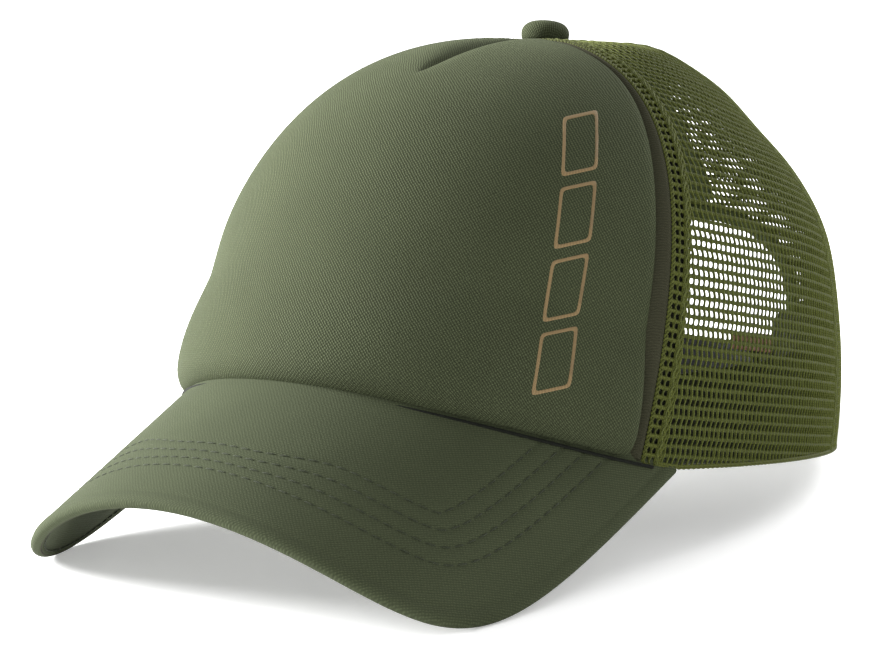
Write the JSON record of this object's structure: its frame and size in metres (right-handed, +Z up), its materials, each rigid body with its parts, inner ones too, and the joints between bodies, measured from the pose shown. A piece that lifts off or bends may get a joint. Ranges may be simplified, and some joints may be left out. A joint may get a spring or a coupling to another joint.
{
  "type": "trucker mesh cap",
  "caption": "Trucker cap with a padded foam front, open mesh sides and back, a curved stitched visor, a top button and a plastic snap strap across the rear opening.",
  "frame": {"origin": "centre of the bounding box in plan, on the surface that the cap rests on", "axes": "+Z up at rest on a flat surface, standing on the two side lobes of the visor and the back of the rim; the visor points along -Y and +X is the wearer's left. The rim plane leans 9.84 degrees, front up."},
  "size_m": [0.1644, 0.2391, 0.1264],
  "materials": {
    "foam_front_fabric": "fine diagonal knit face laminated to foam, matte olive",
    "foam": "open-cell polyurethane foam, off-white",
    "strip_fabric": "flat twill strip, dark olive",
    "olive_mesh": "open polyester knit mesh, yellow olive",
    "olive_tape": "cotton twill tape, olive",
    "sweatband_fabric": "brushed cotton, near black olive",
    "visor_fabric": "same knit face as the front",
    "visor_board": "moulded polyethylene board",
    "strap_plastic": "moulded polyethylene, near black",
    "button_metal": "pressed aluminium",
    "print_ink": "raised tan print",
    "brown_rubber": "soft moulded tab, plain brown",
    "label_fabric": "plain white woven label, blank"
  },
  "bodies": {
    "cap": {"front_panel_fabric": "foam_front_fabric", "front_panel_foam": "foam", "front_edge_strip_left": "strip_fabric", "front_edge_strip_right": "strip_fabric", "seam_band_left": "olive_mesh", "seam_band_right": "olive_mesh", "side_mesh_left": "olive_mesh", "side_mesh_right": "olive_mesh", "back_mesh_left": "olive_mesh", "back_mesh_right": "olive_mesh", "side_seam_tape_left": "olive_tape", "side_seam_tape_right": "olive_tape", "front_seam_tape_left": "olive_tape", "front_seam_tape_right": "olive_tape", "back_seam_tape": "olive_tape", "rear_opening_binding": "olive_tape", "sweatband": "sweatband_fabric", "blank_label": "label_fabric", "visor_top_cover": "visor_fabric", "visor_under_cover": "visor_fabric", "visor_edge_binding": "visor_fabric", "visor_insert": "visor_board", "hole_strap_anchor": "strap_plastic", "peg_strap_anchor": "strap_plastic", "front_print": "print_ink", "button_cover": "foam_front_fabric", "button_shell": "button_metal", "button_tack": "button_metal", "button_washer": "button_metal"},
    "hole_strap": {"hole_strap": "strap_plastic"},
    "peg_strap": {"peg_strap": "strap_plastic", "size_tab": "brown_rubber"}
  },
  "joints": [
    {"name": "hole_strap_hinge", "type": "hinge", "parent": "cap", "child": "hole_strap", "pos_m": [0.028, 0.11071, 0.01535], "axis": [0, -0.1709, -0.9853], "range_deg": [0, 80], "stiffness_Nm_per_rad": 0.004},
    {"name": "peg_strap_hinge", "type": "hinge", "parent": "cap", "child": "peg_strap", "pos_m": [-0.028, 0.10896, 0.01565], "axis": [0, -0.1709, -0.9853], "range_deg": [0, 70], "stiffness_Nm_per_rad": 0.004}
  ]
}
